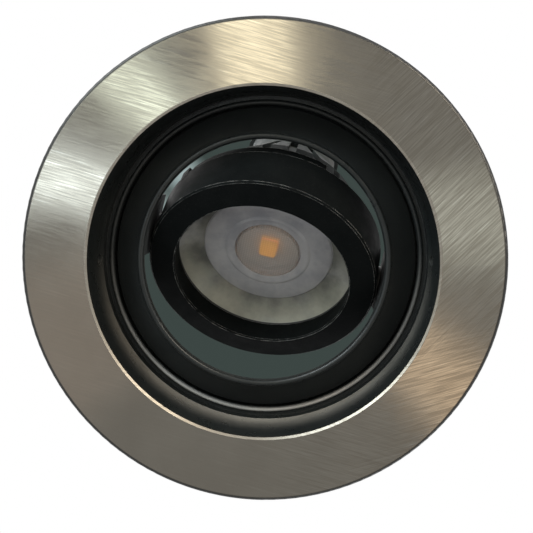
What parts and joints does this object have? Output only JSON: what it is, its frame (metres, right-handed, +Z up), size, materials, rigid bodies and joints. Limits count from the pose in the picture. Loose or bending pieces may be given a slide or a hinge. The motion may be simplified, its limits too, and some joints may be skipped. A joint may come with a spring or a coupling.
{
  "type": "recessed tilting downlight",
  "caption": "Recessed soffit downlight: round brushed trim, deep black baffle, swivelling ring, tilting lamp head and sprung fixing arms.",
  "frame": {"origin": "centre of the ceiling plane that the flange's gasket is pulled against", "axes": "+Z up into the soffit, along the axis of the can; the light shines towards -Z; +X towards the right-hand spring arm"},
  "size_m": [0.115, 0.115, 0.0797],
  "materials": {
    "brushed_nickel": "brushed, satin lacquer",
    "black_paint": "satin black powder coat",
    "gasket_foam": "closed-cell foam",
    "nylon": "natural nylon",
    "spring_steel": "bright drawn spring steel",
    "zinc_steel": "zinc-plated sheet",
    "silicone": "soft silicone",
    "clear_lens": "clear moulded acrylic",
    "board_white": "white solder resist",
    "phosphor": "yellow phosphor",
    "lamp_white": "white thermoplastic, lightly textured",
    "lamp_grey": "grey moulded plastic",
    "ceramic": "unglazed steatite",
    "brass": "plain brass",
    "sleeve_rubber": "soft black sleeve"
  },
  "bodies": {
    "housing": {"bezel": "brushed_nickel", "housing": "black_paint", "flange_gasket": "gasket_foam", "glide_ring": "nylon", "swivel_circlip": "spring_steel", "spring_bracket_right": "zinc_steel", "spring_bracket_left": "zinc_steel", "bracket_rivets": "zinc_steel", "spring_pin_right": "zinc_steel", "spring_pin_left": "zinc_steel"},
    "swivel": {"swivel_ring": "black_paint", "pivot_pin_right": "spring_steel", "pivot_pin_left": "spring_steel"},
    "head": {"head_barrel": "black_paint", "friction_washer_right": "nylon", "friction_washer_left": "nylon", "lamp_seal": "silicone", "lamp_clip": "spring_steel", "lamp_lens": "clear_lens", "lamp_optic": "clear_lens", "led_board": "board_white", "led_chip": "phosphor", "lamp_body": "lamp_white", "lamp_cap": "lamp_grey", "lamp_pins": "brass", "lampholder_body": "ceramic", "lampholder_cover": "ceramic", "lampholder_screws": "zinc_steel", "lampholder_contacts": "brass"},
    "arm_right": {"spring_arm_right": "zinc_steel", "arm_sleeve_right": "sleeve_rubber", "torsion_spring_right": "spring_steel"},
    "arm_left": {"spring_arm_left": "zinc_steel", "arm_sleeve_left": "sleeve_rubber", "torsion_spring_left": "spring_steel"}
  },
  "joints": [
    {"name": "ring_swivel", "type": "hinge", "parent": "housing", "child": "swivel", "pos_m": [0, 0, 0.0157], "axis": [0, 0, 1], "range_deg": [-170, 170]},
    {"name": "head_tilt", "type": "hinge", "parent": "swivel", "child": "head", "pos_m": [0, 0, 0.019], "axis": [0.9724, 0.2334, 0], "range_deg": [-36, 0]},
    {"name": "arm_right_fold", "type": "hinge", "parent": "housing", "child": "arm_right", "pos_m": [0.04945, 0, 0.01607], "axis": [0, -1, 0], "range_deg": [0, 144], "stiffness_Nm_per_rad": 0.02, "springref_deg": -57.3},
    {"name": "arm_left_fold", "type": "hinge", "parent": "housing", "child": "arm_left", "pos_m": [-0.04945, 0, 0.01607], "axis": [0, 1, 0], "range_deg": [0, 144], "stiffness_Nm_per_rad": 0.02, "springref_deg": -57.3}
  ]
}
